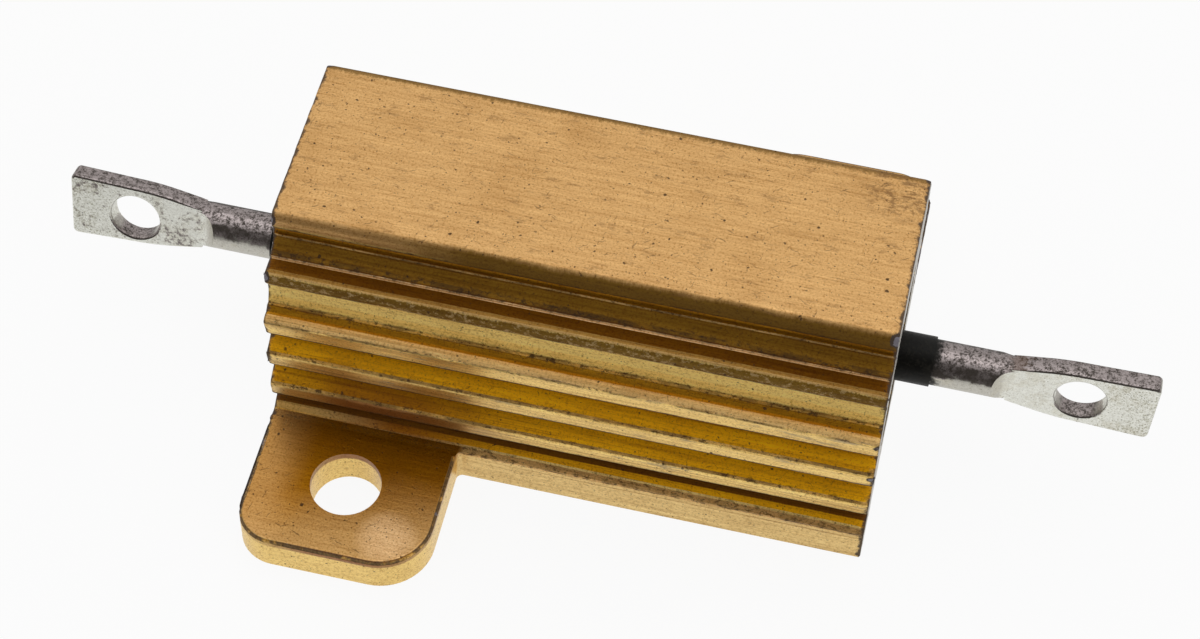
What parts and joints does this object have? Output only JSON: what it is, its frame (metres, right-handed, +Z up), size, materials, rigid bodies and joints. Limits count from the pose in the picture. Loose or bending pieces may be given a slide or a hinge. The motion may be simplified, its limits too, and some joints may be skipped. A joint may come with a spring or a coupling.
{
  "type": "chassis mount resistor",
  "caption": "Wirewound power resistor in a finned gold anodised aluminium housing, with two diagonal screw tabs and a flattened solder lug at each end.",
  "frame": {"origin": "middle of the base, on the surface that meets the chassis", "axes": "+X along the housing towards the right terminal, +Y towards the tab at that end, +Z up from the base to the roof"},
  "size_m": [0.0497, 0.0272, 0.0132],
  "materials": {
    "anodised_aluminium": "gold anodised, satin, worn at the edges",
    "moulding_compound": "moulded black compound",
    "ceramic": "unglazed white ceramic",
    "resistance_wire": "drawn resistance wire",
    "cap_steel": "pressed steel",
    "tinned_terminal": "dull oxidised tin plate"
  },
  "bodies": {
    "root": {"housing": "anodised_aluminium", "moulding": "moulding_compound", "ceramic_core": "ceramic", "resistance_winding": "resistance_wire", "core_cap_left": "cap_steel", "core_cap_right": "cap_steel", "terminal_left": "tinned_terminal", "terminal_right": "tinned_terminal"}
  },
  "joints": []
}
